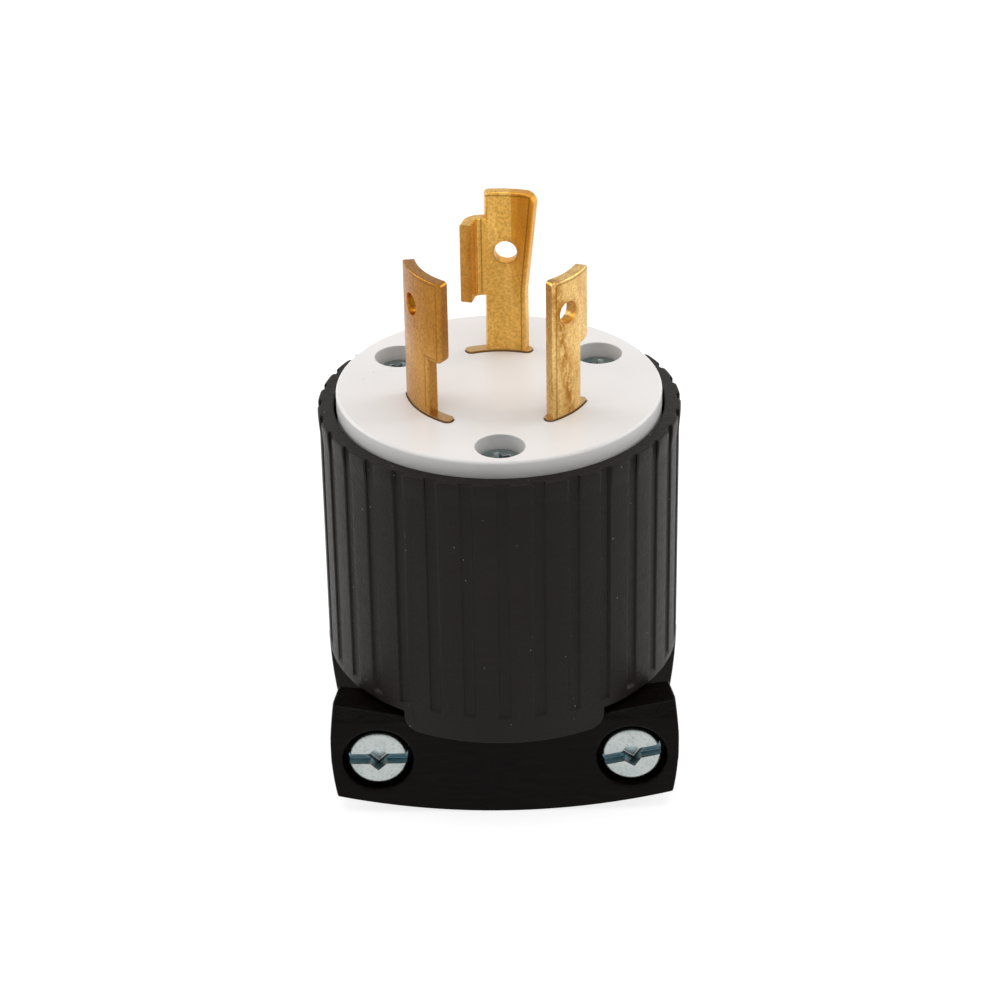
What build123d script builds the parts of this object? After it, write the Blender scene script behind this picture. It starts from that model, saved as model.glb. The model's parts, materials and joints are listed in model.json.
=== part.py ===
from build123d import *
import os
from math import cos, degrees, radians, sin, tan

# Locking power plug, in millimetres, standing on its cord end with the blades up.
# The origin is on the plug's axis at the lowest point of the cord end. +Z points to the blades,
# and -Y is the side of the separate clamp jaw. Angles are counted from +X towards +Y.

# Face
face_diameter = 42.0
face_thickness = 6.2
face_stand = 2.1  # height of the face above the shell's rim
face_edge_round = 0.45

# Shell
shell_height = 51.1  # cord end to rim
face_gap = 0.35  # around the face, inside the rim
rim_wall = 1.9
rim_flare = 0.18  # how far the rim stands out past the ribs
rim_flare_height = 3.4
rim_land = 1.1  # straight top part of the flare
rim_edge_round = 0.35
rib_count = 32
groove_width = 1.65
groove_depth = 0.5
groove_turn = 0.4  # degrees that the front groove is turned from -Y
band_height = 3.8  # smooth band below the ribs
shell_wall = 2.5  # behind the grooves
floor_thickness = 2.3
boss_diameter = 8.4
boss_root = 0.5  # how far the screw bosses run into the wall

# Blades
blade_circle = 23.84  # outside diameter over the blades
blade_shift = -0.6  # from the plug's axis to the circle's middle, along Y
blade_thickness = 1.55
blade_edge_round = 0.2
line_height = 18.9
wide_angle = 204.4
wide_neck_width = 6.95
wide_hook_low = 7.95
wide_hook_reach = 2.25
wide_foot_reach = 3.0
narrow_angle = -42.5
narrow_neck_width = 5.05
narrow_hook_low = 8.9
narrow_hook_reach = 2.05
narrow_foot_reach = 2.05
ground_angle = 83.7
ground_height = 22.55
ground_neck_width = 5.42
ground_hook_low = 8.15
ground_hook_high = 19.0
ground_hook_reach = 1.0  # to the start of its bend
ground_bend_radius = 0.7
ground_bend = 62.0  # degrees inwards
ground_tab_length = 1.65
ground_foot_reach = 2.8
ground_flare = 1.53  # how far the head widens on the side away from the hook
ground_flare_low = 8.9
ground_corner_round = 1.4
foot_back = 0.6
foot_rise = 0.25  # feet above the face
foot_round = 0.65
hole_diameter = 3.0
hole_height = 14.25
hook_round = 0.8
tip_round = 0.5
flange_reach = 0.8  # hidden shoulder under the face that keeps each blade in
flange_height = 1.9
blade_fit = 0.08  # around a blade in its slots

# Wiring block and terminals
block_height = 16.0
block_gap = 0.4  # block to shell
well_width = 9.4
well_height = 10.4
tail_rise = 1.2  # end of the blades' tails above the block's underside
terminal_rise = 5.6  # terminal screws above the block's underside
terminal_head_diameter = 6.4
terminal_head_height = 2.1
terminal_head_round = 0.7
terminal_shank_diameter = 3.8
terminal_length = 5.2
terminal_slot_width = 1.1
terminal_slot_depth = 1.0
wire_clamp_width = 8.2
wire_clamp_height = 7.6
wire_clamp_thickness = 1.2
wire_clamp_round = 1.0
wire_clamp_gap = 0.1  # to the blade and to the screw's head
thread_fit = 0.06  # between a screw and its thread, on the radius
clearance_hole = 0.3  # between a screw and a plain hole, on the radius

# Face screws
front_screw_radius = 16.8
rear_screw_radius = 15.7
rear_screw_angle = 33.8
face_head_diameter = 5.8
face_head_height = 2.0
face_head_round = 0.7
face_shank_diameter = 3.5
face_cross_length = 3.5
face_cross_width = 0.95
face_cross_depth = 1.2
face_bore_gap = 0.25  # around a head in its counterbore
face_bore_depth = 3.7
pilot_spare = 1.2  # from a screw's tip to the bottom of its pilot hole
tip_chamfer = 0.45  # at the end of every screw

# Clamp jaws
jaw_face = 19.2  # plug's axis to the flat front of the jaw
jaw_top_width = 44.4
jaw_belly = 0.55  # how far the front jaw's sides bulge
jaw_foot_width = 44.0
jaw_foot_rise = 2.7  # height of the jaws' lower corners over the bottom's middle
jaw_face_height = 14.2
jaw_top_rise = 1.1  # rise of the ears' top towards the outside
jaw_height = 15.95
jaw_clearance = 0.15  # jaw to shell
jaw_split = 1.2  # between the jaws, on the plug's axis
ear_depth = 6.5
ear_taper = 9.0  # degrees
jaw_core_width = 26.6
jaw_core_taper = 1.5  # narrowing of the jaw's middle, each side, down to the split
rear_jaw_width = 46.8
rear_jaw_belly = 0.3
apron_drop = 2.75  # lip of the shell below the jaws' top
apron_round = 1.8  # at the lip's lower corners

# Cord channel
cord_radius = 8.5
grip_depth = 0.8
grip_width = 2.0
grip_pitch = 4.2
grip_count = 3
channel_chamfer = 0.8

# Clamp screws and nuts
clamp_screw_spacing = 33.1
clamp_screw_height = 8.25
clamp_head_diameter = 7.8
clamp_head_height = 2.6
clamp_head_round = 0.6
clamp_head_sink = 0.5
clamp_bore_gap = 0.7
clamp_bore_chamfer = 0.25
clamp_shank_diameter = 4.1
clamp_tip_sink = 1.2  # end of the screw to the back of the rear jaw
clamp_slot_width = 1.5
clamp_slot_depth = 1.3
clamp_socket = 2.7  # side of the square recess
clamp_socket_depth = 2.2
clamp_screw_turn = 12.0  # degrees that the right screw's slot is turned
nut_flats = 8.0
nut_thickness = 3.2
nut_gap = 0.12
nut_sink = 1.6

# Heights, radii and places that follow
face_top = shell_height + face_stand
seat = face_top - face_thickness
foot_top = face_top + foot_rise
block_low = seat - block_height
terminal_height = block_low + terminal_rise
shell_radius = face_diameter / 2 + face_gap + rim_wall
cavity_radius = shell_radius - groove_depth - shell_wall
block_radius = cavity_radius - block_gap
ceiling = jaw_height + jaw_clearance
floor_top = ceiling + floor_thickness
apron_low = ceiling - apron_drop
blade_outer = blade_circle / 2
blade_inner = blade_outer - blade_thickness
blade_middle = (blade_outer + blade_inner) / 2
flange_low = seat - flange_height
face_head_low = face_top - face_bore_depth
face_screw_tip = floor_top + pilot_spare
face_screws_at = [(front_screw_radius, -90.0)]
face_screws_at += [(rear_screw_radius, rear_screw_angle), (rear_screw_radius, 180 - rear_screw_angle)]
clamp_screws_at = [-clamp_screw_spacing / 2, clamp_screw_spacing / 2]
over = 1.0  # how far a cutting tool runs past what it cuts
tolerance = 0.001  # within which a point counts as lying on a surface
far = 4 * shell_radius  # longer than anything here

# Angle of each blade, and the widths that its slot has to pass
blades_at = [
    (ground_angle, ground_neck_width, ground_foot_reach),
    (wide_angle, wide_neck_width, wide_foot_reach),
    (narrow_angle, narrow_neck_width, narrow_foot_reach),
]

upright = (Align.CENTER, Align.CENTER, Align.MIN)
hanging = (Align.CENTER, Align.CENTER, Align.MAX)


# Degrees that a width takes up along the blades' middle circle
def arc(width):
    return degrees(width / blade_middle)


# Part of a tube around the plug's axis, between two angles
def sector(inner, outer, low, high, start, end):
    section = Pos((inner + outer) / 2, (low + high) / 2) * Rectangle(outer - inner, high - low)
    return Rot(0, 0, start) * revolve(Plane.XZ * section, Axis.Z, end - start)


# Rod along +X at a height, for radial holes
def radial_rod(diameter, start, end, height):
    rod = Cylinder(diameter / 2, end - start, align=upright)
    return Pos(start, 0, height) * Rot(0, 90, 0) * rod


# Place of a blade and its terminal, from the blade's angle
def blade_place(angle):
    return Pos(0, blade_shift, 0) * Rot(0, 0, angle)


def polar(radius, angle, height=0.0):
    return Vector(radius * cos(radians(angle)), radius * sin(radians(angle)), height)


# Rounds the corner of a blade's plate that lies at an angle and a height
def round_corner(plate, angle, height, radius):
    edge = plate.edges().sort_by_distance(polar(blade_middle, angle, height))[0]
    return fillet(edge, radius)


# Takes the sharpness off the long edges of a blade's plate, on its inner and its outer skin
def soften(plate):
    edges = []
    for radius in (blade_inner, blade_outer):
        for edge in plate.edges():
            on_skin = all(abs(Vector(v.X, v.Y, 0).length - radius) < tolerance for v in edge.vertices())
            if on_skin and edge.center().Z > face_top + tolerance:
                edges.append(edge)
    return fillet(edges, blade_edge_round)


# Angles at which a blade's foot starts and ends, from its neck's middle
def foot_span(neck_width, foot_reach, spare=0.0):
    return -arc(neck_width / 2 + foot_back + spare), arc(neck_width / 2 + foot_reach + spare)


# Foot with rounded ends, or with a fit around it the slot that it passes through
def foot_plate(neck_width, foot_reach, low, high, fit=0.0):
    start, end = foot_span(neck_width, foot_reach, fit)
    plate = sector(blade_inner - fit, blade_outer + fit, low, high, start, end)
    return fillet(plate.edges().filter_by(Axis.Z), foot_round + fit)


# Tail, foot and hidden flange, which all three blades have, with the neck's middle on +X
def blade_stem(neck_width, foot_reach):
    half = arc(neck_width / 2)
    stem = sector(blade_inner, blade_outer, block_low + tail_rise, face_top, -half, half)
    stem += foot_plate(neck_width, foot_reach, flange_low, foot_top)
    start, end = foot_span(neck_width, foot_reach, flange_reach)
    return stem + sector(blade_inner, blade_outer, flange_low, seat, start, end)


def blade_holes(blade):
    tapped = terminal_shank_diameter + 2 * thread_fit
    blade -= radial_rod(hole_diameter, blade_inner - over, blade_outer + over, face_top + hole_height)
    return blade - radial_rod(tapped, blade_inner - over, blade_outer + over, terminal_height)


def line_blade(neck_width, low, hook_reach, foot_reach):
    half = arc(neck_width / 2)
    hook_end = half + arc(hook_reach)
    low += face_top
    top = face_top + line_height
    plate = sector(blade_inner, blade_outer, face_top, top, -half, half)
    plate += sector(blade_inner, blade_outer, low, top, -half, hook_end)
    plate = round_corner(plate, hook_end, low, hook_round)
    plate = round_corner(plate, hook_end, top, tip_round)
    plate = round_corner(plate, -half, top, tip_round)
    return blade_holes(soften(plate) + blade_stem(neck_width, foot_reach))


# Inward bend and straight end of the ground blade's hook, from the hook's last angle
def ground_tab(hook_end, low, high):
    outer = ground_bend_radius + blade_thickness
    bend = sector(ground_bend_radius, outer, low, high, hook_end, hook_end + ground_bend)
    end = Pos(ground_bend_radius, 0, low) * Box(
        blade_thickness, ground_tab_length, high - low, align=(Align.MIN, Align.MIN, Align.MIN)
    )
    tab = bend + Rot(0, 0, hook_end + ground_bend) * end
    return Pos(polar(blade_inner - ground_bend_radius, hook_end)) * tab


def ground_blade():
    half = arc(ground_neck_width / 2)
    hook_end = half + arc(ground_hook_reach)
    top = face_top + ground_height
    low = face_top + ground_hook_low
    high = face_top + ground_hook_high
    plate = sector(blade_inner, blade_outer, face_top, top, -half, half)
    plate += sector(blade_inner, blade_outer, low, high, 0, hook_end)
    plate += ground_tab(hook_end, low, high)

    # the head widens upwards on its back edge, in a straight slant
    flare_low = face_top + ground_flare_low
    plate += sector(blade_inner, blade_outer, flare_low, top, -half - 2 * arc(ground_flare), 0)
    slope = ground_flare / (top - flare_low)
    slant = Polyline(
        (slope * over, flare_low - over),
        (-ground_flare - slope * over, top + over),
        (-far, top + over),
        (-far, flare_low - over),
        close=True,
    )
    waste = extrude(Plane.YZ * make_face(slant), far)
    waste &= sector(0, far, flare_low, top + over, -45, 45)
    plate -= Rot(0, 0, -half) * waste
    plate = round_corner(plate, -half - arc(ground_flare), top, ground_corner_round)
    plate = round_corner(plate, half, top, tip_round)
    return blade_holes(soften(plate) + blade_stem(ground_neck_width, ground_foot_reach))


def face():
    disc = Pos(0, 0, seat) * Cylinder(face_diameter / 2, face_thickness, align=upright)
    disc = fillet(disc.edges().group_by(Axis.Z)[-1], face_edge_round)
    for angle, neck_width, foot_reach in blades_at:
        slot = foot_plate(neck_width, foot_reach, seat - over, face_top + over, blade_fit)
        disc -= blade_place(angle) * slot
    bore = Cylinder(face_head_diameter / 2 + face_bore_gap, face_bore_depth, align=hanging)
    hole = Cylinder(face_shank_diameter / 2 + clearance_hole, face_thickness, align=hanging)
    for radius, angle in face_screws_at:
        disc -= Pos(polar(radius, angle, face_top)) * (bore + hole)
    return disc


# One terminal's cuts in the wiring block: tail slot, flange pocket, wire well and tip hole
def terminal_cuts(neck_width, foot_reach):
    half = arc(neck_width / 2 + blade_fit)
    start, end = foot_span(neck_width, foot_reach, flange_reach + blade_fit)
    slot_inner = blade_inner - blade_fit
    slot_outer = blade_outer + blade_fit
    slot = sector(slot_inner, slot_outer, block_low - over, seat, -half, half)
    pocket = sector(slot_inner, slot_outer, flange_low - blade_fit, seat + over, start, end)
    well = Pos(blade_middle, 0, block_low - over) * Box(
        far, well_width, well_height + over, align=(Align.MIN, Align.CENTER, Align.MIN)
    )
    tip_hole = terminal_shank_diameter + 2 * clearance_hole
    tip = radial_rod(tip_hole, blade_inner - terminal_length, blade_middle, terminal_height)
    return slot + pocket + well + tip


def wiring_block():
    block = Pos(0, 0, block_low) * Cylinder(block_radius, block_height, align=upright)
    for angle, neck_width, foot_reach in blades_at:
        block -= blade_place(angle) * terminal_cuts(neck_width, foot_reach)
    hole = Cylinder(face_shank_diameter / 2 + clearance_hole, far, align=upright)
    for radius, angle in face_screws_at:
        block -= Pos(polar(radius, angle)) * hole
    return block


# Wire clamp plate at the outside of a blade's tail, with the blade's middle on +X
def wire_clamp():
    plate = Box(wire_clamp_thickness, wire_clamp_width, wire_clamp_height)
    plate = fillet(plate.edges().filter_by(Axis.X), wire_clamp_round)
    plate = Pos(blade_outer + wire_clamp_gap + wire_clamp_thickness / 2, 0, terminal_height) * plate
    hole = terminal_shank_diameter + 2 * clearance_hole
    return plate - radial_rod(hole, blade_outer - over, far / 2, terminal_height)


# Screw with a rounded pan head above the origin and its shank below
def pan_screw(head_diameter, head_height, head_round, shank_diameter, length):
    head = Cylinder(head_diameter / 2, head_height, align=upright)
    head = fillet(head.edges().group_by(Axis.Z)[-1], head_round)
    shank = Cylinder(shank_diameter / 2, length, align=hanging)
    shank = chamfer(shank.edges().group_by(Axis.Z)[0], tip_chamfer)
    return head + shank


def recess(head_height, width, length, depth):
    return Pos(0, 0, head_height) * Box(length, width, depth, align=hanging)


# Terminal screw that points at the plug's axis, with its blade's middle on +X
def terminal_screw():
    screw = pan_screw(
        terminal_head_diameter,
        terminal_head_height,
        terminal_head_round,
        terminal_shank_diameter,
        terminal_length,
    )
    slot_length = 2 * terminal_head_diameter
    screw -= recess(terminal_head_height, terminal_slot_width, slot_length, terminal_slot_depth)
    seat_radius = blade_outer + wire_clamp_thickness + 2 * wire_clamp_gap
    return Pos(seat_radius, 0, terminal_height) * Rot(0, 90, 0) * screw


def face_screws():
    length = face_head_low - face_screw_tip
    screw = pan_screw(face_head_diameter, face_head_height, face_head_round, face_shank_diameter, length)
    slot = recess(face_head_height, face_cross_width, face_cross_length, face_cross_depth)
    screw -= slot + Rot(0, 0, 90) * slot
    places = [Pos(polar(radius, angle, face_head_low)) * Rot(0, 0, angle) for radius, angle in face_screws_at]
    return Compound([place * screw for place in places])


# Outline of a jaw from the front, with bulging sides and a convex bottom
def jaw_outline(top_width, belly, top_points):
    top = top_width / 2
    foot = jaw_foot_width / 2
    side = (top + foot) / 2 + belly
    middle = (jaw_height + jaw_foot_rise) / 2
    right_side = ThreePointArc((foot, jaw_foot_rise), (side, middle), (top, jaw_height))
    left_side = ThreePointArc((-top, jaw_height), (-side, middle), (-foot, jaw_foot_rise))
    bottom = ThreePointArc((-foot, jaw_foot_rise), (0, 0), (foot, jaw_foot_rise))
    cap = Polyline((top, jaw_height), *top_points, (-top, jaw_height))
    return Plane.XZ * make_face([right_side, cap, left_side, bottom])


# Side view of a jaw with the bevel on its outer top edge, as a cutter far wider than the jaw
def bevel_limit():
    run = far - jaw_face_height
    side = Polyline(
        (0, -far),
        (-jaw_face, -far),
        (-jaw_face, jaw_face_height),
        (-jaw_face + run, far),
        (far, far),
        (far, -far),
        close=True,
    )
    return Pos(-far / 2, 0, 0) * extrude(Plane.YZ * make_face(side), far)


# Cord channel along the plug's axis, flared at the cord end
def channel_cut(high):
    flare = channel_chamfer + jaw_foot_rise
    mouth = Cone(cord_radius + flare, cord_radius, flare, align=upright)
    bore = Cylinder(cord_radius, high + over, align=upright)
    return Pos(0, 0, -over) * bore + Pos(0, 0, -jaw_foot_rise) * mouth


# V-shaped grooves in the channel's wall, whose edges bite on the cord
def grip_grooves():
    grooves = []
    first = (jaw_height - (grip_count - 1) * grip_pitch) / 2
    for i in range(grip_count):
        height = first + i * grip_pitch
        notch = Polyline(
            (cord_radius - grip_depth, height - grip_width),
            (cord_radius + grip_depth, height),
            (cord_radius - grip_depth, height + grip_width),
            close=True,
        )
        grooves.append(revolve(Plane.XZ * make_face(notch), Axis.Z))
    return grooves


# Rod along +Y on a clamp screw's line
def clamp_rod(diameter, start, end, x):
    rod = Cylinder(diameter / 2, end - start, align=hanging)
    return Pos(x, start, clamp_screw_height) * Rot(90, 0, 0) * rod


def clamp_jaw():
    core = jaw_core_width / 2
    low_top = jaw_height - jaw_top_rise
    outline = jaw_outline(jaw_top_width, jaw_belly, [(core, low_top), (-core, low_top)])
    jaw = extrude(outline, jaw_face, dir=(0, -1, 0))
    jaw &= bevel_limit()

    # ears, thinner than the middle and narrower towards the back
    widest = (jaw_top_width + jaw_foot_width) / 4 + jaw_belly
    shrink = ear_depth * tan(radians(ear_taper))
    plan = Polyline(
        (-widest, -jaw_face),
        (widest, -jaw_face),
        (widest - shrink, ear_depth - jaw_face),
        (core, ear_depth - jaw_face),
        (core - jaw_core_taper, -jaw_split / 2),
        (jaw_core_taper - core, -jaw_split / 2),
        (-core, ear_depth - jaw_face),
        (shrink - widest, ear_depth - jaw_face),
        close=True,
    )
    jaw &= extrude(make_face(plan), jaw_height)

    jaw -= channel_cut(jaw_height)
    for groove in grip_grooves():
        jaw -= groove

    bore = clamp_head_diameter + 2 * clamp_bore_gap
    bore_depth = clamp_head_height + clamp_head_sink
    hole = clamp_shank_diameter + 2 * clearance_hole
    flare = Cone(bore / 2 + clamp_bore_chamfer, bore / 2, clamp_bore_chamfer, align=upright)
    for x in clamp_screws_at:
        jaw -= clamp_rod(hole, -jaw_face - over, 0, x)
        jaw -= clamp_rod(bore, -jaw_face - over, bore_depth - jaw_face, x)
        jaw -= Pos(x, -jaw_face, clamp_screw_height) * Rot(-90, 0, 0) * flare
    return jaw


# Jaw that is moulded in one with the shell, behind the cord
def rear_jaw():
    outline = jaw_outline(rear_jaw_width, rear_jaw_belly, [])
    jaw = Pos(0, jaw_split / 2, 0) * extrude(outline, jaw_face - jaw_split / 2, dir=(0, 1, 0))
    return jaw & Rot(0, 0, 180) * bevel_limit()


# Outer form of the shell with its grooves
def ribbed_body():
    rim = shell_radius + rim_flare
    profile = Polyline(
        (0, apron_low),
        (shell_radius, apron_low),
        (shell_radius, shell_height - rim_flare_height),
        (rim, shell_height - rim_land),
        (rim, shell_height),
        (0, shell_height),
        close=True,
    )
    body = revolve(Plane.XZ * make_face(profile), Axis.Z)
    body = fillet(body.edges().group_by(Axis.Z)[-1], rim_edge_round)
    groove = Pos(shell_radius - groove_depth, 0, apron_low + band_height) * Box(
        far, groove_width, far, align=(Align.MIN, Align.CENTER, Align.MIN)
    )
    for i in range(rib_count):
        body -= Rot(0, 0, groove_turn - 90 + i * 360 / rib_count) * groove
    return body


# Waste at the lower corners of the shell's lip, seen from the front
def apron_corners():
    reach = (shell_radius**2 - (jaw_face + jaw_clearance) ** 2) ** 0.5
    waste = []
    for side in (-1, 1):
        middle = Pos(side * (reach - apron_round), apron_low + apron_round)
        corner = middle * Pos(side * apron_round, -apron_round) * Rectangle(2 * apron_round, 2 * apron_round)
        corner -= middle * Circle(apron_round)
        waste.append(extrude(Plane.XZ * corner, far))
    return waste


# Columns that the face screws bite into, standing on the floor against the wall
def screw_bosses():
    room = Pos(0, 0, floor_top) * Cylinder(cavity_radius + boss_root, block_low - floor_top, align=upright)
    column = Cylinder(boss_diameter / 2, far)
    bosses = []
    for radius, angle in face_screws_at:
        wall_side = Pos(polar(radius + boss_diameter / 2, angle)) * column
        bosses.append((Pos(polar(radius, angle)) * column + wall_side) & room)
    return bosses


def shell():
    body = ribbed_body()
    body -= Pos(0, 0, floor_top) * Cylinder(cavity_radius, far, align=upright)
    body -= Pos(0, 0, seat) * Cylinder(face_diameter / 2 + face_gap, far, align=upright)
    for boss in screw_bosses():
        body += boss
    pilot = Cylinder(face_shank_diameter / 2 + thread_fit, far, align=upright)
    for radius, angle in face_screws_at:
        body -= Pos(polar(radius, angle, floor_top)) * pilot

    # room for the front jaw, and the rear jaw behind the cord
    front = jaw_face + jaw_clearance
    body -= Pos(0, -front, ceiling) * Box(
        far, front + jaw_split / 2, far, align=(Align.CENTER, Align.MIN, Align.MAX)
    )
    for corner in apron_corners():
        body -= corner
    body += rear_jaw()
    body -= channel_cut(floor_top)
    for groove in grip_grooves():
        body -= groove

    pocket = nut_thickness + nut_sink
    hole = clamp_shank_diameter + 2 * clearance_hole
    for x in clamp_screws_at:
        body -= clamp_rod(hole, 0, jaw_face + over, x)
        body -= nut_blank(nut_flats + 2 * nut_gap, jaw_face - pocket, jaw_face + far / 2, x)
    return body


# Hexagonal prism along +Y on a clamp screw's line
def nut_blank(flats, start, end, x):
    hexagon = extrude(RegularPolygon(flats / 2, 6, major_radius=False), end - start)
    return Pos(x, start, clamp_screw_height) * Rot(-90, 0, 0) * hexagon


def clamp_nuts():
    start = jaw_face - nut_thickness - nut_sink
    end = start + nut_thickness
    thread = clamp_shank_diameter + 2 * thread_fit
    nuts = [nut_blank(nut_flats, start, end, x) - clamp_rod(thread, start - over, end + over, x)
            for x in clamp_screws_at]
    return Compound(nuts)


def clamp_screws():
    under_head = clamp_head_height + clamp_head_sink - jaw_face
    length = jaw_face - clamp_tip_sink - under_head
    screw = pan_screw(clamp_head_diameter, clamp_head_height, clamp_head_round, clamp_shank_diameter, length)
    screw -= recess(clamp_head_height, clamp_slot_width, 2 * clamp_head_diameter, clamp_slot_depth)
    screw -= Rot(0, 0, 45) * recess(clamp_head_height, clamp_socket, clamp_socket, clamp_socket_depth)
    turns = [0.0, clamp_screw_turn]
    places = [Pos(x, under_head, clamp_screw_height) * Rot(90, 0, 0) for x in clamp_screws_at]
    return Compound([place * Rot(0, 0, turn) * screw for place, turn in zip(places, turns)])


def write(name, shape):
    shape.label = name
    export_step(shape, f"parts/{name}.step")


os.makedirs("parts", exist_ok=True)
write("face", face())
write("shell", shell())
write("wiring_block", wiring_block())
write("clamp_jaw", clamp_jaw())
write("clamp_screws", clamp_screws())
write("clamp_nuts", clamp_nuts())
write("face_screws", face_screws())
write("ground_blade", blade_place(ground_angle) * ground_blade())
write("ground_wire_clamp", blade_place(ground_angle) * wire_clamp())
write("ground_terminal_screw", blade_place(ground_angle) * terminal_screw())
wide_blade = line_blade(wide_neck_width, wide_hook_low, wide_hook_reach, wide_foot_reach)
narrow_blade = line_blade(narrow_neck_width, narrow_hook_low, narrow_hook_reach, narrow_foot_reach)
write("line_blade_left", blade_place(wide_angle) * wide_blade)
write("line_blade_right", blade_place(narrow_angle) * narrow_blade)
write("line_wire_clamp_left", blade_place(wide_angle) * wire_clamp())
write("line_wire_clamp_right", blade_place(narrow_angle) * wire_clamp())
line_screws = [blade_place(angle) * terminal_screw() for angle in (wide_angle, narrow_angle)]
write("line_terminal_screws", Compound(line_screws))
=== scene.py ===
import json
from math import atan2, cos, hypot, pi, radians, sin

import bpy
from mathutils import Matrix, Vector


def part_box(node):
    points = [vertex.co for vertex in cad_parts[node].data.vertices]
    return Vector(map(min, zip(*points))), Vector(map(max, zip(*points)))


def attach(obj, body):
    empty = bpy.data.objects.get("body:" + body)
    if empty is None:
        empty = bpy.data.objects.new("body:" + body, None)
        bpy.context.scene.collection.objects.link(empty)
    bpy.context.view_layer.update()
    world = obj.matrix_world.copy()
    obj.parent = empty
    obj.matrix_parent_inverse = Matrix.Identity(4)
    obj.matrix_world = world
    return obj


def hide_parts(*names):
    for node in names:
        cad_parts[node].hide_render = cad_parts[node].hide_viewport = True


# The locking power plug with its finish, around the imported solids, in metres
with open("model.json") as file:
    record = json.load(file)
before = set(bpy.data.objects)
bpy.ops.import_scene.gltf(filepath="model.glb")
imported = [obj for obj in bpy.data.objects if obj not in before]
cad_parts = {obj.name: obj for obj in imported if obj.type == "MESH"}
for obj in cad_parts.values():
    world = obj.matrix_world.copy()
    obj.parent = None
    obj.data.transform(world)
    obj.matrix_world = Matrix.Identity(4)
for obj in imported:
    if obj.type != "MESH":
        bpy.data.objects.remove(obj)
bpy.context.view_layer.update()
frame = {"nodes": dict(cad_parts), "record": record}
print("frame loaded:", len(frame["nodes"]), "nodes")


# A socket's value, which takes part in plain arithmetic
class Signal:
    def __init__(self, finish, socket):
        self.finish = finish
        self.socket = socket

    def maths(self, operation, first, second=0.0):
        return self.finish.node("ShaderNodeMath", {"operation": operation}, {0: first, 1: second})

    def __add__(self, other):
        return self.maths("ADD", self, other)

    def __radd__(self, other):
        return self.maths("ADD", other, self)

    def __sub__(self, other):
        return self.maths("SUBTRACT", self, other)

    def __rsub__(self, other):
        return self.maths("SUBTRACT", other, self)

    def __mul__(self, other):
        return self.maths("MULTIPLY", self, other)

    def __rmul__(self, other):
        return self.maths("MULTIPLY", other, self)

    def __pow__(self, other):
        return self.maths("POWER", self, other)

    def __abs__(self):
        return self.maths("ABSOLUTE", self)

    def __gt__(self, other):
        return self.maths("GREATER_THAN", self, other)

    def __lt__(self, other):
        return self.maths("LESS_THAN", self, other)

    def lesser(self, other):
        return self.maths("MINIMUM", self, other)

    def greater(self, other):
        return self.maths("MAXIMUM", self, other)

    def angleTo(self, other):
        return self.maths("ARCTAN2", self, other)


# A material that is made from nodes, with the few patterns that this plug's finishes share
class Finish:
    plainNoise = 0.55  # roughness of a noise whose values give none

    def __init__(self, name, world=None):
        self.material = world or bpy.data.materials.new(name)
        self.material.use_nodes = True
        self.tree = self.material.node_tree
        self.tree.nodes.clear()
        if world:
            self.direction = self.node("ShaderNodeTexCoord", output="Generated")
        else:
            self.place = self.node("ShaderNodeTexCoord", output="Object")

    def node(self, kind, settings=None, inputs=None, output=0):
        made = self.tree.nodes.new(kind)
        for key, value in (settings or {}).items():
            setattr(made, key, value)
        for key, value in (inputs or {}).items():
            if isinstance(value, Signal):
                self.tree.links.new(value.socket, made.inputs[key])
            else:
                made.inputs[key].default_value = value
        return Signal(self, made.outputs[output])

    def axis(self, name):
        return self.node("ShaderNodeSeparateXYZ", {}, {0: self.place}, name)

    # Noise, with its grain longer along an axis whose stretch is under 1
    def noise(self, values):
        place = self.place
        if "stretch" in values:
            inputs = {"Vector": place, "Scale": values["stretch"]}
            place = self.node("ShaderNodeMapping", {}, inputs)
        inputs = {
            "Vector": place,
            "Scale": values["scale"],
            "Detail": values["detail"],
            "Roughness": values.get("roughness", self.plainNoise),
        }
        return self.node("ShaderNodeTexNoise", {}, inputs)

    # A value's part between two levels, stretched to 0..1
    def between(self, value, low, high):
        inputs = {"Value": value, "From Min": low, "From Max": high}
        return self.node("ShaderNodeMapRange", {}, inputs)

    def pattern(self, values):
        return self.between(self.noise(values), *values["levels"])

    # Small dots, only where a coarser noise is high
    def specks(self, values, above):
        inputs = {"Vector": self.place, "Scale": values["cells"]}
        dots = self.node("ShaderNodeTexVoronoi", {}, inputs, "Distance")
        return (dots < values["size"]) * (self.noise(values) > above)

    # Roughness that varies by a spread round its level
    def uneven(self, level, values):
        spread = values["spread"]
        return self.noise(values) * spread + (level - spread / 2)

    def mixed(self, first, second, share):
        inputs = {0: share, 6: first, 7: second}
        return self.node("ShaderNodeMix", {"data_type": "RGBA"}, inputs, output=2)

    # Relief of a height in metres, over an earlier one where that is given
    def relief(self, height, values, under=None):
        inputs = {"Height": height, "Distance": values["height"], "Strength": values["strength"]}
        if under:
            inputs["Normal"] = under
        return self.node("ShaderNodeBump", {}, inputs, "Normal")

    def close(self, colour, roughness, normal, constants):
        inputs = {"Base Color": colour, "Roughness": roughness, "Normal": normal}
        return self.show(self.node("ShaderNodeBsdfPrincipled", {}, {**inputs, **constants}))

    def show(self, shader, outputKind="ShaderNodeOutputMaterial"):
        output = self.tree.nodes.new(outputKind)
        self.tree.links.new(shader.socket, output.inputs["Surface"])
        return self.material


def rgb(red, green, blue):
    return (red, green, blue, 1.0)


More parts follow.
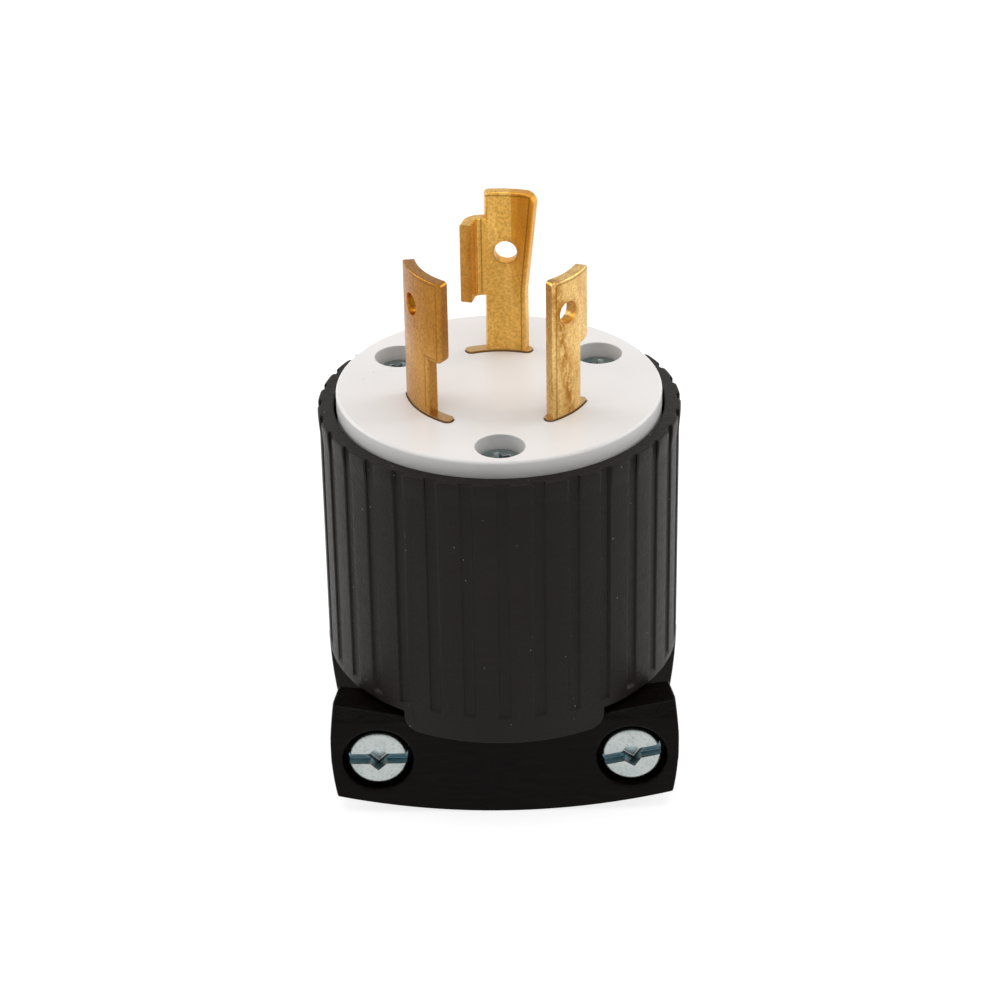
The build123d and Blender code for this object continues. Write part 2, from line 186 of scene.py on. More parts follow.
# White moulded face
facePlastic = {
    "colour": rgb(0.712, 0.692, 0.678),
    "shade": rgb(0.68, 0.66, 0.642),
    "speck": rgb(0.12, 0.10, 0.08),
    "cloud": {"scale": 90.0, "detail": 4.0, "levels": (0.35, 0.7)},
    "cloudShare": 0.5,
    "specks": {"cells": 420.0, "size": 0.035, "scale": 160.0, "detail": 3.0},
    "specksAbove": 0.66,
    "speckShare": 0.7,
    "roughness": 0.36,
    "uneven": {"scale": 700.0, "detail": 2.0, "spread": 0.12},
    "waves": {"scale": 130.0, "detail": 2.0, "height": 0.00012, "strength": 0.35},
    "grain": {"scale": 2600.0, "detail": 2.0, "height": 0.00002, "strength": 0.25},
    "specular": 0.4,
}


def whitePlastic():
    values = facePlastic
    finish = Finish("whitePlastic")
    cloud = finish.pattern(values["cloud"])
    colour = finish.mixed(values["colour"], values["shade"], cloud * values["cloudShare"])
    specks = finish.specks(values["specks"], values["specksAbove"])
    colour = finish.mixed(colour, values["speck"], specks * values["speckShare"])
    roughness = finish.uneven(values["roughness"], values["uneven"])
    waves = finish.relief(finish.noise(values["waves"]), values["waves"])
    grain = finish.relief(finish.noise(values["grain"]), values["grain"], waves)
    return finish.close(colour, roughness, grain, {"Specular IOR Level": values["specular"]})


# What the black and the grey plastic share: cloudy wear, scuffs, dust and a fine grain
mouldedGrain = {
    "cloud": {"scale": 55.0, "detail": 4.0, "levels": (0.4, 0.75)},
    "cloudShare": 0.3,
    "scuff": {
        "scale": 1500.0,
        "detail": 4.0,
        "roughness": 0.65,
        "stretch": (0.12, 1.0, 1.0),
        "levels": (0.50, 0.68),
    },
    "dust": {"cells": 700.0, "size": 0.075, "scale": 210.0, "detail": 1.0},
    "dustShare": 0.8,
    "uneven": {"scale": 900.0, "detail": 3.0, "spread": 0.2},
    "waves": {"scale": 240.0, "detail": 2.0, "height": 0.00010, "strength": 0.3},
    "grain": {"scale": 2900.0, "detail": 3.0, "height": 0.00007, "strength": 0.9},
}

# Black ribbed shell, with a few pale specks of dust
shellPlastic = {
    "colour": rgb(0.0078, 0.0052, 0.0042),
    "worn": rgb(0.0135, 0.0102, 0.0085),
    "dust": rgb(0.16, 0.15, 0.14),
    "dustAbove": 0.58,
    "scuff": 0.3,
    "roughness": 0.46,
    "specular": 0.155,
}

# Black clamp jaw, smoother than the shell
jawPlastic = {
    "colour": rgb(0.0020, 0.0009, 0.0006),
    "worn": rgb(0.0066, 0.0046, 0.0038),
    "dust": rgb(0.05, 0.045, 0.04),
    "dustAbove": 0.75,
    "scuff": 0.85,
    "roughness": 0.34,
    "specular": 0.065,
}

# Dark grey wiring block
blockPlastic = {
    "colour": rgb(0.055, 0.056, 0.060),
    "worn": rgb(0.085, 0.086, 0.090),
    "dust": rgb(0.25, 0.25, 0.25),
    "dustAbove": 0.8,
    "scuff": 0.3,
    "roughness": 0.5,
    "specular": 0.4,
}


def blackPlastic(name, values):
    shared = mouldedGrain
    finish = Finish(name)
    cloud = finish.pattern(shared["cloud"])
    colour = finish.mixed(values["colour"], values["worn"], cloud * shared["cloudShare"])
    scuff = finish.pattern(shared["scuff"])
    colour = finish.mixed(colour, values["worn"], scuff * values["scuff"])
    dust = finish.specks(shared["dust"], values["dustAbove"])
    colour = finish.mixed(colour, values["dust"], dust * shared["dustShare"])
    roughness = finish.uneven(values["roughness"], shared["uneven"])
    waves = finish.relief(finish.noise(shared["waves"]), shared["waves"])
    grain = finish.relief(finish.noise(shared["grain"]), shared["grain"], waves)
    return finish.close(colour, roughness, grain, {"Specular IOR Level": values["specular"]})


# Bare brass of the blades. The circle and the outlines follow the solids, angles in degrees
bladeBrass = {
    "radius": 0.01192,
    "shift": 0.0006,  # of the blades' circle to the front
    "top": 0.0721,
    "tallFrom": 0.004,  # y past which a blade is the tall one
    "left": {
        "angle": 204.4,
        "high": 0.003475,
        "hook": 0.005725,
        "hookLow": 0.06115,
        "colour": rgb(0.360, 0.150, 0.022),
        "patch": rgb(0.52, 0.245, 0.042),
        "share": 0.45,
        "flecks": 0.52,
    },
    "right": {
        "angle": -42.5,
        "low": -0.002525,
        "colour": rgb(0.860, 0.590, 0.225),
        "patch": rgb(0.60, 0.310, 0.065),
        "share": 0.65,
        "flecks": 0.34,
    },
    "ground": {
        "angle": 83.7,
        "low": -0.00271,
        "flare": 0.00153,
        "flareLow": 0.0621,
        "top": 0.07575,
        "colour": rgb(0.870, 0.515, 0.125),
        "patch": rgb(0.72, 0.39, 0.070),
        "share": 0.6,
        "flecks": 0.34,
    },
    "roughness": 0.30,
}

# Mottling of the brass: patches, fine flecks and brushed streaks
brassGrain = {
    "patch": {
        "scale": 650.0,
        "detail": 6.0,
        "roughness": 0.72,
        "stretch": (1.0, 1.0, 0.3),
        "levels": (0.40, 0.62),
    },
    "fine": {"scale": 2900.0, "detail": 3.0, "roughness": 0.65, "levels": (0.42, 0.62)},
    "mottle": {
        "scale": 1100.0,
        "detail": 5.0,
        "roughness": 0.7,
        "stretch": (1.0, 1.0, 0.6),
        "levels": (0.40, 0.55),
    },
    "brushed": {
        "scale": 900.0,
        "detail": 3.0,
        "roughness": 0.6,
        "stretch": (1.0, 1.0, 0.06),
        "height": 0.00003,
        "strength": 0.5,
    },
    "pits": {
        "scale": 2300.0,
        "detail": 3.0,
        "roughness": 0.6,
        "height": 0.00005,
        "strength": 0.6,
    },
    "fleck": rgb(0.20, 0.085, 0.012),
    "streakSpread": 0.25,  # of the roughness
    "fineSpread": 0.12,
}

# Marks on the brass: stains, streaks, thin lines of painted shade along the edges and bends,
# painted shade on the feet, and holes, with places and widths in metres
brassMarks = {
    "line": rgb(0.20, 0.085, 0.012),
    "lineShare": 0.6,
    "lineAt": 0.00042,  # from the outline
    "lineWidth": 0.00007,
    "bends": (0.0036, 0.0043),  # painted shade lines at the tall blade's bent hook, from its middle
    "bendSpan": (0.0617, 0.0722),
    "streak": rgb(0.36, 0.140, 0.010),
    "streakAt": 0.0011,  # on the right blade, from its middle
    "streakHeight": 0.0640,
    "streakLean": 0.14,
    "streakFade": (0.0001, 0.0013),
    "neckTint": rgb(0.54, 0.275, 0.065),
    "neckShare": 0.9,
    "neckFine": 0.4,
    "neckFade": (0.0600, 0.0650),
    "stain": rgb(0.64, 0.265, 0.015),
    "stainEdge": 0.0019,
    "stainRise": (0.0610, 0.0700),
    "stainShare": 0.85,
    "stainPatch": 0.3,
    "holeHeight": 0.06745,
    "holeRadius": 0.0015,
    "holeWall": rgb(0.90, 0.40, 0.040),
    "holeWallPast": 0.00003,
    "holeWallShare": 0.8,
    "haloPast": (0.0002, 0.0010),  # from the hole's edge
    "haloShare": 0.6,
    # Painted shade on the feet, and a darker painted shade along their sides
    "foot": rgb(0.46, 0.31, 0.16),
    "footTop": 0.0535,  # height below which painted shade darkens the feet, as the shadow of their slots in the face
    "footShare": 0.65,
    "footSide": 0.0534,
    "footSideShare": 0.7,
}


# Length round the blades' circle from a blade's middle
def aroundBlade(finish, values):
    turn = radians(values["angle"])
    x = finish.axis("X")
    y = finish.axis("Y") + bladeBrass["shift"]
    outward = x * cos(turn) + y * sin(turn)
    across = y * cos(turn) - x * sin(turn)
    return across.angleTo(outward) * bladeBrass["radius"]


# Depth inside a blade's outline, from its top and from the long side along which the painted
# shade lines run
def insideBlade(finish, values, along):
    z = finish.axis("Z")
    below = values.get("top", bladeBrass["top"]) - z
    if "hook" in values:
        hook = (values["hook"] - along).lesser(z - values["hookLow"])
        return (values["high"] - along).greater(hook).lesser(below)
    side = along - values["low"]
    if "flare" in values:
        side = side + values["flare"] * finish.between(z, values["flareLow"], values["top"])
    return side.lesser(below)


# A thin stroke of painted shade where a value passes a level
def lineAt(finish, value, level):
    width = brassMarks["lineWidth"]
    return 1.0 - finish.between(abs(value - level), width, 2 * width)


# Streak that leans over the right blade
def leaningStreak(finish, along, z):
    lean = (z - brassMarks["streakHeight"]) * brassMarks["streakLean"]
    drift = abs(along + brassMarks["streakAt"] + lean)
    return 1.0 - finish.between(drift, *brassMarks["streakFade"])


# Painted shade lines where the tall blade's hook is bent
def bendShadeLines(finish, along, z):
    low, high = brassMarks["bendSpan"]
    lines = 0.0
    for place in brassMarks["bends"]:
        lines = lines + lineAt(finish, along, place) * (z > low) * (z < high)
    return lines


# Brass with real stains, streaks and mottling, plus painted shade lines along its edges and bends
# and painted shade on the feet
def stainedAndShadedBrass():
    marks = brassMarks
    finish = Finish("stainedAndShadedBrass")
    x = finish.axis("X")
    z = finish.axis("Z")
    tall = finish.axis("Y") > bladeBrass["tallFrom"]
    right = (x > 0.0) * (1.0 - tall)
    blades = {"left": (1.0 - right) * (1.0 - tall), "right": right, "ground": tall}
    patch = finish.pattern(brassGrain["patch"])
    fine = finish.pattern(brassGrain["fine"])
    mottle = finish.pattern(brassGrain["mottle"])
    colour = marks["line"]
    # Painted shade lines along the blades' edges and the hook's bends are gathered from here
    line = 0.0
    for name, here in blades.items():
        values = bladeBrass[name]
        along = aroundBlade(finish, values)
        own = finish.mixed(values["colour"], values["patch"], patch * values["share"])
        own = finish.mixed(own, brassGrain["fleck"], fine * values["flecks"])
        above = z - marks["holeHeight"]
        reach = (along * along + above * above) ** 0.5
        near, far = marks["haloPast"]
        halo = finish.between(reach, marks["holeRadius"] + near, marks["holeRadius"] + far)
        own = finish.mixed(own, marks["streak"], (1.0 - halo) * mottle * marks["haloShare"])
        if name == "right":
            band = leaningStreak(finish, along, z)
            own = finish.mixed(own, marks["streak"], band * mottle)
        if name == "ground":
            line = line + here * bendShadeLines(finish, along, z)
        inHole = reach < marks["holeRadius"] + marks["holeWallPast"]
        own = finish.mixed(own, marks["holeWall"], inHole * marks["holeWallShare"])
        colour = finish.mixed(colour, own, here)
        inside = insideBlade(finish, values, along)
        line = line + here * lineAt(finish, inside, marks["lineAt"])
    neck = blades["left"] * (1.0 - finish.between(z, *marks["neckFade"]))
    neck = neck * (marks["neckShare"] - fine * marks["neckFine"])
    colour = finish.mixed(colour, marks["neckTint"], neck)
    stained = tall * (x > marks["stainEdge"]) * finish.between(z, *marks["stainRise"])
    stained = stained * (marks["stainShare"] - patch * marks["stainPatch"])
    colour = finish.mixed(colour, marks["stain"], stained)
    # Painted shade lines laid over the brass along its edges and bends
    colour = finish.mixed(colour, marks["line"], line * marks["lineShare"])
    # Painted shade of the slots on the blades' feet, darker along their sides
    colour = finish.mixed(colour, marks["foot"], (z < marks["footTop"]) * marks["footShare"])
    footSide = (z < marks["footSide"]) * marks["footSideShare"]
    colour = finish.mixed(colour, marks["line"], footSide)
    streak = finish.noise(brassGrain["brushed"])
    fineSpread = brassGrain["fineSpread"]
    roughness = streak * brassGrain["streakSpread"] + fine * fineSpread
    roughness = roughness + (bladeBrass["roughness"] - fineSpread)
    brushed = finish.relief(streak, brassGrain["brushed"])
    pits = finish.relief(finish.noise(brassGrain["pits"]), brassGrain["pits"], brushed)
    return finish.close(colour, roughness, pits, {"Metallic": 1.0})


# Blue-bright zinc of the screws and nuts, with painted shade in the recesses and on the face
# screws' heads, a painted shadow on the socket walls and a painted highlight on the socket
# floors. Depths are measured from the heads' fronts
screwZinc = {
    "colour": rgb(0.47, 0.505, 0.49),
    "tint": rgb(0.33, 0.39, 0.40),
    "tinted": {"scale": 420.0, "detail": 3.0, "levels": (0.45, 0.7)},
    "tintShare": 0.5,
    "pit": rgb(0.15, 0.18, 0.18),
    "pitted": {"scale": 2900.0, "detail": 3.0, "roughness": 0.7, "levels": (0.52, 0.66)},
    "pitShare": 0.45,
    "clampFront": -0.0187,  # y of the clamp screws' fronts
    "faceFront": 0.0515,  # height of the face screws' fronts
    # Painted shade on the face screws' heads, which lie deep in their counterbores
    "sunkShade": rgb(0.05, 0.12, 0.145),
    "sunkAbove": 0.045,  # the face screws' heads lie above this height
    "sunkShare": 0.45,
    "sunkTint": 0.35,
    # Painted shade, tinted teal, in the slots and cross recesses
    "recess": rgb(0.16, 0.27, 0.31),
    "recessFade": (0.00030, 0.0010),
    "recessEnd": 0.0026,
    "recessTint": 0.4,
    "shadow": rgb(0.012, 0.025, 0.030),
    "shadowFade": (0.00137, 0.0016),
    # Painted highlight on the floors of the square sockets
    "socketFloorHighlight": rgb(0.78, 0.84, 0.84),
    "socketFrom": 0.00222,
    "roughness": 0.34,
    "uneven": {"scale": 1300.0, "detail": 3.0, "spread": 0.2},
    "pits": {
        "scale": 1900.0,
        "detail": 4.0,
        "roughness": 0.6,
        "height": 0.00004,
        "strength": 0.5,
    },
}


def zinc():
    values = screwZinc
    finish = Finish("zinc")
    tint = finish.pattern(values["tinted"])
    colour = finish.mixed(values["colour"], values["tint"], tint * values["tintShare"])
    pit = finish.pattern(values["pitted"])
    colour = finish.mixed(colour, values["pit"], pit * values["pitShare"])
    clampDepth = finish.axis("Y") - values["clampFront"]
    faceDepth = values["faceFront"] - finish.axis("Z")
    depth = clampDepth.lesser(abs(faceDepth))
    # Painted shade on the face screws' heads, which lie deep in their counterbores
    sunkShade = finish.axis("Z") > values["sunkAbove"]
    sunkShade = sunkShade * (values["sunkShare"] + values["sunkTint"] * tint)
    colour = finish.mixed(colour, values["sunkShade"], sunkShade)
    # Painted shade, tinted teal, in the slots and recesses of the heads
    inRecess = depth < values["recessEnd"]
    slot = finish.between(depth, *values["recessFade"]) * inRecess
    colour = finish.mixed(colour, values["recess"], slot * (1.0 - tint * values["recessTint"]))
    walls = finish.between(depth, *values["shadowFade"]) * (depth < values["socketFrom"])
    colour = finish.mixed(colour, values["shadow"], walls)
    # Painted highlight on the socket floors
    floor = (depth > values["socketFrom"]) * inRecess
    colour = finish.mixed(colour, values["socketFloorHighlight"], floor)
    roughness = finish.uneven(values["roughness"], values["uneven"])
    pits = finish.relief(finish.noise(values["pits"]), values["pits"])
    return finish.close(colour, roughness, pits, {"Metallic": 1.0})


# Bright brass of the inner terminals, and the green coat of the ground screw
terminalBrass = {
    "colour": rgb(0.72, 0.52, 0.20),
    "tint": rgb(0.58, 0.38, 0.13),
    "roughness": 0.3,
}
groundGreen = {
    "colour": rgb(0.04, 0.25, 0.09),
    "tint": rgb(0.10, 0.36, 0.14),
    "roughness": 0.35,
}
terminalGrain = {
    "tinted": {"scale": 500.0, "detail": 3.0, "levels": (0.4, 0.7)},
    "uneven": {"scale": 1200.0, "detail": 3.0, "spread": 0.2},
    "pits": {"scale": 1800.0, "detail": 3.0, "height": 0.00003, "strength": 0.4},
}


def plainMetal(name, values):
    shared = terminalGrain
    finish = Finish(name)
    colour = finish.mixed(values["colour"], values["tint"], finish.pattern(shared["tinted"]))
    roughness = finish.uneven(values["roughness"], shared["uneven"])
    pits = finish.relief(finish.noise(shared["pits"]), shared["pits"])
    return finish.close(colour, roughness, pits, {"Metallic": 1.0})


materials = {
    "face_plastic": whitePlastic(),
    "shell_plastic": blackPlastic("ribbedBlack", shellPlastic),
    "jaw_plastic": blackPlastic("jawBlack", jawPlastic),
    "block_plastic": blackPlastic("blockGrey", blockPlastic),
    "blade_brass": stainedAndShadedBrass(),
    "terminal_brass": plainMetal("terminalBrass", terminalBrass),
    "ground_screw_green": plainMetal("greenCoat", groundGreen),
    "screw_zinc": zinc(),
}
print("finishes ready:", len(materials))

slotOf = {part["node"]: part["material_slot"] for part in frame["record"]["subparts"]}
for nodeName, node in frame["nodes"].items():
    node.data.materials.clear()
    node.data.materials.append(materials[slotOf[nodeName]])


def activate(piece):
    bpy.ops.object.select_all(action="DESELECT")
    piece.select_set(True)
    bpy.context.view_layer.objects.active = piece


def applied(piece, kind, **settings):
    activate(piece)
    modifier = piece.modifiers.new(kind, kind)
    for key, value in settings.items():
        setattr(modifier, key, value)
    bpy.ops.object.modifier_apply(modifier=kind)


def declare(piece, node):
    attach(piece, "root")
    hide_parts(node)


def copied(mesh, name):
    piece = bpy.data.objects.new(name, mesh.copy())
    bpy.context.scene.collection.objects.link(piece)
    return piece


# Moulded pieces with their sharp edges taken off: width in metres of the rounding on each
softEdges = {
    "shell": 0.00018,
    "face": 0.00012,
    "clamp_jaw": 0.00025,
    "wiring_block": 0.00020,
    "clamp_nuts": 0.00022,
}
softening = {
    "merge": 1e-6,
    "level": 1e-5,  # within which points count as on one level
    "upright": 0.9999,  # share of Z in the normal of a face that counts as level
    "flat": 0.3,  # degrees within which faces count as one plane
    "sharp": 32.0,  # degrees from which an edge is rounded
    "smooth": 35.0,
    "segments": 3,
    "faceReach": 0.0202,  # on the face, only the mouths inside this radius are rounded
    "lipCorner": (0.0122, -0.0170, 0.0184),  # the shell's lip keeps its round past here
    "weight": 60,
}

# Shell's grooves, made shallower with sloped walls as a mould leaves them
grooveValues = {
    "count": 32,
    "turn": 0.4,  # degrees from -Y
    "floorRadius": 0.02275,
    "halfWidth": 0.000825,
    "rise": 0.00018,
    "slope": 0.00026,
    "low": 0.0190,
    "tolerance": 0.00003,
}


def slopeGrooves(mesh):
    pitch = 2 * pi / grooveValues["count"]
    first = radians(grooveValues["turn"] - 90)
    tolerance = grooveValues["tolerance"]
    moved = 0
    for vertex in mesh.vertices:
        angle = atan2(vertex.co.y, vertex.co.x)
        middle = round((angle - first) / pitch) * pitch + first
        outward = Vector((cos(middle), sin(middle), 0))
        across = Vector((-sin(middle), cos(middle), 0))
        offset = vertex.co.dot(across)
        depth = vertex.co.dot(outward) - grooveValues["floorRadius"]
        past = abs(offset) - grooveValues["halfWidth"]
        if abs(depth) < tolerance and abs(past) < tolerance:
            vertex.co += outward * grooveValues["rise"]
            vertex.co -= across * grooveValues["slope"] * (1 if offset > 0 else -1)
            if vertex.co.z < grooveValues["low"]:
                vertex.co.z += grooveValues["slope"]
            moved += 1
    print("groove corners moved:", moved)


# Deselects all of the active mesh, and leaves it in a mode where one kind can be selected
def deselectAll(kind):
    bpy.ops.object.mode_set(mode="EDIT")
    bpy.ops.mesh.select_mode(type=kind)
    bpy.ops.mesh.select_all(action="DESELECT")
    bpy.ops.object.mode_set(mode="OBJECT")


# Selects only the level faces at the top
def selectTop(mesh):
    top = max(vertex.co.z for vertex in mesh.vertices)
    deselectAll("FACE")
    for polygon in mesh.polygons:
        upright = polygon.normal.z > softening["upright"]
        polygon.select = upright and abs(polygon.center.z - top) < softening["level"]


# Whether an edge with these ends is one that the piece's rounding is meant for
def isMeant(nodeName, ends, top):
    if nodeName == "face":
        reach = softening["faceReach"]
        level = softening["level"]
        return all(abs(end.z - top) < level and hypot(end.x, end.y) < reach for end in ends)
    if nodeName == "shell":
        x, y, z = softening["lipCorner"]
        return not any(abs(end.x) > x and end.y < y and end.z < z for end in ends)
    return True


# Gives full bevel weight to the sharp edges that are meant
def weighEdges(nodeName, mesh):
    top = max(vertex.co.z for vertex in mesh.vertices)
    normals = {}
    for polygon in mesh.polygons:
        for key in polygon.edge_keys:
            normals.setdefault(key, []).append(polygon.normal.copy())
    weights = mesh.attributes.new("bevel_weight_edge", "FLOAT", "EDGE")
    for edge in mesh.edges:
        pair = normals.get(edge.key, [])
        sharp = len(pair) == 2 and pair[0].angle(pair[1], 0.0) > radians(softening["sharp"])
        ends = [mesh.vertices[i].co for i in edge.vertices]
        rounded = sharp and isMeant(nodeName, ends, top)
        weights.data[edge.index].value = 1.0 if rounded else 0.0


# Smooth over the roundings, flat on the flats
def smoothed(piece):
    activate(piece)
    bpy.ops.object.shade_smooth_by_angle(angle=radians(softening["smooth"]))
    applied(piece, "WEIGHTED_NORMAL", keep_sharp=True, weight=softening["weight"])


def softCopy(nodeName, width):
    piece = copied(frame["nodes"][nodeName].data, nodeName + "_soft")
    activate(piece)
    bpy.ops.object.mode_set(mode="EDIT")
    bpy.ops.mesh.select_all(action="SELECT")
    bpy.ops.mesh.remove_doubles(threshold=softening["merge"])
    bpy.ops.mesh.normals_make_consistent(inside=False)
    bpy.ops.object.mode_set(mode="OBJECT")
    bpy.ops.mesh.customdata_custom_splitnormals_clear()
    if nodeName == "face":
        selectTop(piece.data)
    bpy.ops.object.mode_set(mode="EDIT")
    bpy.ops.mesh.dissolve_limited(angle_limit=radians(softening["flat"]))
    bpy.ops.object.mode_set(mode="OBJECT")
    if nodeName == "shell":
        slopeGrooves(piece.data)
    weighEdges(nodeName, piece.data)
    applied(
        piece,
        "BEVEL",
        width=width,
        segments=softening["segments"],
        limit_method="WEIGHT",
        use_clamp_overlap=False,
    )
    smoothed(piece)
    declare(piece, nodeName)


for nodeName, width in softEdges.items():
    softCopy(nodeName, width)
print("soft copies made:", len(softEdges))

# What all the screws share
screwShape = {
    "sides": 64,
    "headSegments": 5,
    "tipSegments": 1,
    "edgeSegments": 2,
    "shankInHead": 0.25,  # share of the head's height that the shank goes in
    "level": 1e-7,
}


def cylinder(radius, low, high):
    bpy.ops.mesh.primitive_cylinder_add(
        vertices=screwShape["sides"],
        radius=radius,
        depth=high - low,
        location=(0, 0, (low + high) / 2),
    )
    bpy.ops.object.transform_apply(location=True)
    return bpy.context.object


# Bevels the ring of edges at a level of the active piece
def roundRing(piece, level, width, segments):
    deselectAll("EDGE")
    mesh = piece.data
    for edge in mesh.edges:
        heights = [mesh.vertices[i].co.z for i in edge.vertices]
        edge.select = all(abs(z - level) < screwShape["level"] for z in heights)
    bpy.ops.object.mode_set(mode="EDIT")
    bpy.ops.mesh.bevel(offset=width, segments=segments, affect="EDGES")
    bpy.ops.object.mode_set(mode="OBJECT")


def combined(piece, other, operation):
    applied(piece, "BOOLEAN", operation=operation, solver="EXACT", object=other)
    bpy.data.objects.remove(other)


# Box below a level, narrower at its bottom by a taper, turned about Z
def recessBox(length, width, depth, level, taper=1.0, turn=0.0):
    bpy.ops.mesh.primitive_cube_add(size=1, location=(0, 0, level))
    box = bpy.context.object
    box.scale = (length, width, 2 * depth)
    box.rotation_euler = (0, 0, radians(turn))
    bpy.ops.object.transform_apply(location=True, rotation=True, scale=True)
    deselectAll("FACE")
    for polygon in box.data.polygons:
        polygon.select = polygon.center.z < level - depth / 2
    bpy.ops.object.mode_set(mode="EDIT")
    bpy.ops.transform.resize(value=(taper, taper, 1.0), center_override=(0.0, 0.0, level))
    bpy.ops.object.mode_set(mode="OBJECT")
    return box


# Pan head that stands on 0 with its shank below, both with their ends rounded
def panScrew(values, length):
    head = values["headHeight"]
    screw = cylinder(values["headRadius"], 0.0, head)
    roundRing(screw, head, values["headRound"], screwShape["headSegments"])
    shank = cylinder(values["shankRadius"], -length, head * screwShape["shankInHead"])
    roundRing(shank, -length, values["tip"], screwShape["tipSegments"])
    combined(screw, shank, "UNION")
    return screw


def finishScrew(screw, edge):
    applied(
        screw,
        "BEVEL",
        width=edge,
        segments=screwShape["edgeSegments"],
        limit_method="ANGLE",
        angle_limit=radians(softening["sharp"]),
        use_clamp_overlap=False,
    )
    smoothed(screw)
    screw.data.materials.append(materials["screw_zinc"])


def placeScrew(screw, name, spot, turn, node):
    piece = copied(screw.data, name)
    piece.data.transform(Matrix.Translation(spot) @ turn)
    declare(piece, node)


# Clamp screws: pan heads with a slot and a square socket
clampScrew = {
    "headRadius": 0.0039,
    "headHeight": 0.0026,
    "headRound": 0.0006,
    "shankRadius": 0.00205,
    "slotLength": 0.0117,  # past the head on both sides
    "slotWidth": 0.0015,
    "slotDepth": 0.00135,
    "socket": 0.0028,
    "socketDepth": 0.0023,
    "socketTaper": 0.86,
    "socketTurn": 45.0,
    "turns": (0.0, 12.0),  # degrees, left and right
    "edge": 0.00009,
    "tip": 0.00045,
}


def makeClampScrews():
    low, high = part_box("clamp_screws")
    head = clampScrew["headHeight"]
    radius = clampScrew["headRadius"]
    screw = panScrew(clampScrew, high.y - low.y - head)
    slot = (clampScrew["slotLength"], clampScrew["slotWidth"], clampScrew["slotDepth"])
    cut = recessBox(*slot, head)
    combined(screw, cut, "DIFFERENCE")
    socket = (clampScrew["socket"], clampScrew["socket"], clampScrew["socketDepth"])
    cut = recessBox(*socket, head, clampScrew["socketTaper"], clampScrew["socketTurn"])
    combined(screw, cut, "DIFFERENCE")
    finishScrew(screw, clampScrew["edge"])
    lying = Matrix.Rotation(pi / 2, 4, "X")
    places = (low.x + radius, high.x - radius)
    for name, x, turn in zip(("left", "right"), places, clampScrew["turns"]):
        spot = Vector((x, low.y + head, (low.z + high.z) / 2))
        turned = lying @ Matrix.Rotation(radians(turn), 4, "Z")
        placeScrew(screw, "clamp_screw_" + name, spot, turned, "clamp_screws")
    bpy.data.objects.remove(screw)


makeClampScrews()
print("clamp screws made")

# Face screws: pan heads with a cross recess, sunk in the face
faceScrew = {
    "headRadius": 0.0029,
    "headHeight": 0.0020,
    "headRound": 0.0007,
    "shankRadius": 0.00175,
    "wingLength": 0.0036,
    "wingWidth": 0.00095,
    "wingTurns": (0.0, 90.0),
    "depth": 0.0013,
    "taper": 0.62,
    "turns": {"front": 20.0, "left": 62.0, "right": -17.0},
    "edge": 0.00007,
    "tip": 0.00045,
}


def makeFaceScrews():
    low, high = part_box("face_screws")
    head = faceScrew["headHeight"]
    radius = faceScrew["headRadius"]
    screw = panScrew(faceScrew, high.z - low.z - head)
    wing = (faceScrew["wingLength"], faceScrew["wingWidth"], faceScrew["depth"])
    for turn in faceScrew["wingTurns"]:
        cut = recessBox(*wing, head, faceScrew["taper"], turn)
        combined(screw, cut, "DIFFERENCE")
    finishScrew(screw, faceScrew["edge"])
    spots = {
        "front": (0.0, low.y + radius),
        "left": (low.x + radius, high.y - radius),
        "right": (high.x - radius, high.y - radius),
    }
    for name, (x, y) in spots.items():
        spot = Vector((x, y, high.z - head))
        turned = Matrix.Rotation(radians(faceScrew["turns"][name]), 4, "Z")
        placeScrew(screw, "face_screw_" + name, spot, turned, "face_screws")
    bpy.data.objects.remove(screw)


makeFaceScrews()
print("face screws made")

# Camera: where the photograph was taken from
view = {
    "focalLength": 110.16,  # on a sensor 36 mm wide
    "distance": 0.4020,
    "target": (-0.0001, 0.0, 0.0362),
    "elevation": 29.03,
    "roll": -0.94,
    "clipStart": 0.01,
}


def makeCamera():
    pitch = radians(view["elevation"])
    roll = radians(view["roll"])
    forward = Vector((0.0, cos(pitch), -sin(pitch)))
    level = Vector((1.0, 0.0, 0.0))
    upward = level.cross(forward)
    right = cos(roll) * level + sin(roll) * upward
    up = cos(roll) * upward - sin(roll) * level
    turn = Matrix((right, up, -forward)).transposed().to_4x4()
    place = Vector(view["target"]) - view["distance"] * forward
    camera = bpy.data.objects.new("camera", bpy.data.cameras.new("camera"))
    camera.data.lens = view["focalLength"]
    camera.data.clip_start = view["clipStart"]
    camera.matrix_world = Matrix.Translation(place) @ turn
    bpy.context.scene.collection.objects.link(camera)
    bpy.context.scene.camera = camera


makeCamera()
bpy.context.scene.view_settings.view_transform = "Standard"
print("camera set")

# Soft boxes: place, size and brightness of each, all turned towards the plug
softBoxes = {
    "top": {"place": (0.0, -0.05, 0.80), "size": (0.8, 0.8), "watts": 4.35},
    "left": {"place": (-0.62, 0.15, 0.25), "size": (0.35, 0.6), "watts": 2.0},
    "right": {"place": (0.62, 0.15, 0.25), "size": (0.35, 0.6), "watts": 1.9},
}


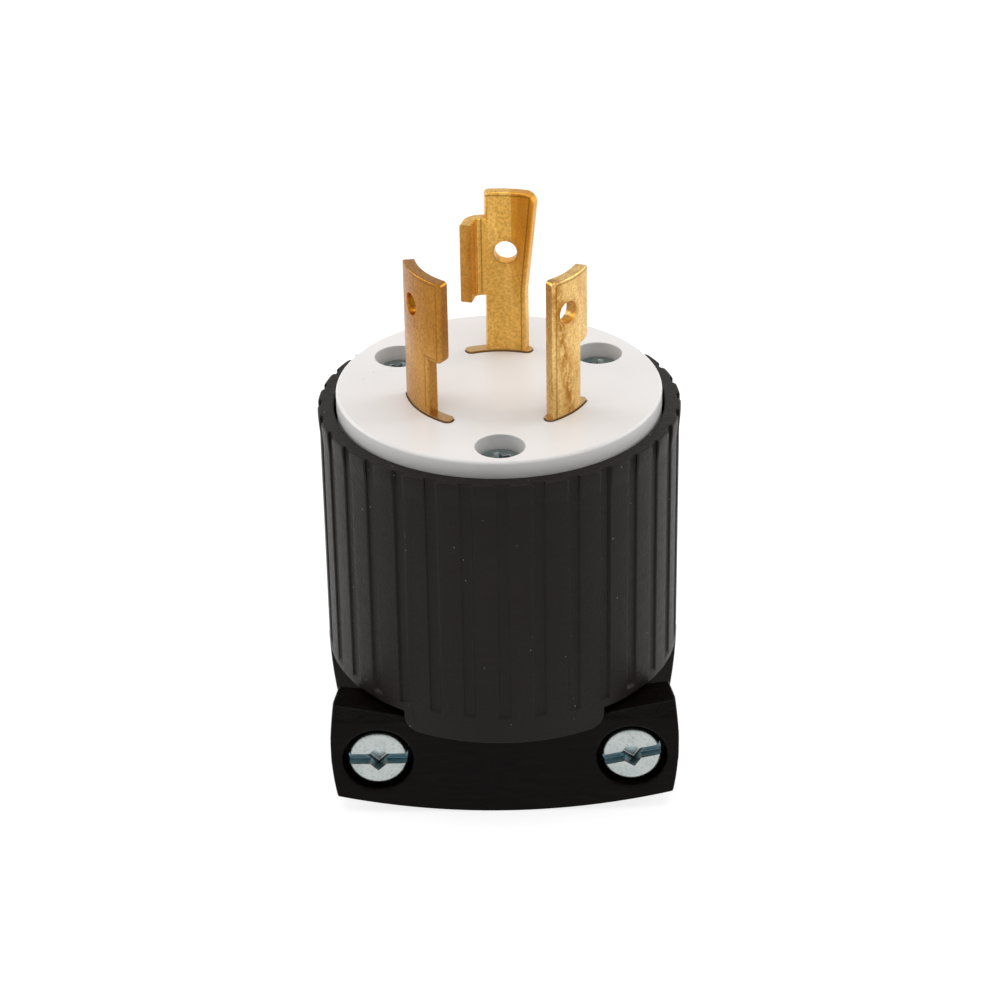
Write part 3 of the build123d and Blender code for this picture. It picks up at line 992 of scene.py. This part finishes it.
def makeLights():
    aim = Vector(view["target"])
    for name, box in softBoxes.items():
        lamp = bpy.data.objects.new(name, bpy.data.lights.new(name, "AREA"))
        lamp.data.shape = "RECTANGLE"
        lamp.data.size, lamp.data.size_y = box["size"]
        lamp.data.energy = box["watts"]
        lamp.location = box["place"]
        lamp.rotation_euler = (aim - lamp.location).to_track_quat("-Z", "Y").to_euler()
        bpy.context.scene.collection.objects.link(lamp)


# White sweep round the plug, darker overhead for what mirrors it, and an even grey for the rest
worldValues = {
    "colour": rgb(1.0, 1.0, 1.0),
    "ambient": 0.42,
    "overhead": 0.12,
    "fade": (0.55, 0.80),  # sines of the elevations between which the white fades
}


# Which rays a part of the studio is for
def rays(finish, kind):
    return finish.node("ShaderNodeLightPath", output="Is " + kind + " Ray")


def makeWorld():
    world = bpy.data.worlds.new("studio")
    bpy.context.scene.world = world
    finish = Finish("studio", world)
    seen = rays(finish, "Camera") + rays(finish, "Transmission")
    mirrored = rays(finish, "Glossy")
    height = finish.node("ShaderNodeSeparateXYZ", {}, {0: finish.direction}, "Z")
    fade = finish.between(height, *worldValues["fade"])
    sweep = 1.0 - fade * (1.0 - worldValues["overhead"])
    strength = (1.0 - mirrored) * worldValues["ambient"] + mirrored * sweep
    strength = strength * (1.0 - seen) + seen
    inputs = {"Color": worldValues["colour"], "Strength": strength}
    shader = finish.node("ShaderNodeBackground", {}, inputs)
    finish.show(shader, "ShaderNodeOutputWorld")


# Pale floor, which the camera sees as white with the plug's faint shadow
floorValues = {
    "size": 4.0,
    "colour": rgb(0.80, 0.80, 0.80),
    "seenColour": rgb(0.30, 0.30, 0.30),
    "glow": 0.81,
}


def makeFloor():
    bpy.ops.mesh.primitive_plane_add(size=floorValues["size"])
    floor = bpy.context.object
    floor.name = "floor"
    finish = Finish("floorWhite")
    plain = finish.node("ShaderNodeBsdfDiffuse", {}, {"Color": floorValues["colour"]})
    lit = finish.node("ShaderNodeBsdfDiffuse", {}, {"Color": floorValues["seenColour"]})
    glow = finish.node("ShaderNodeEmission", {}, {"Strength": floorValues["glow"]})
    bright = finish.node("ShaderNodeAddShader", {}, {0: lit, 1: glow})
    seen = rays(finish, "Camera") + rays(finish, "Glossy")
    both = finish.node("ShaderNodeMixShader", {}, {0: seen, 1: plain, 2: bright})
    floor.data.materials.append(finish.show(both))


makeLights()
makeWorld()
makeFloor()
print("studio ready")
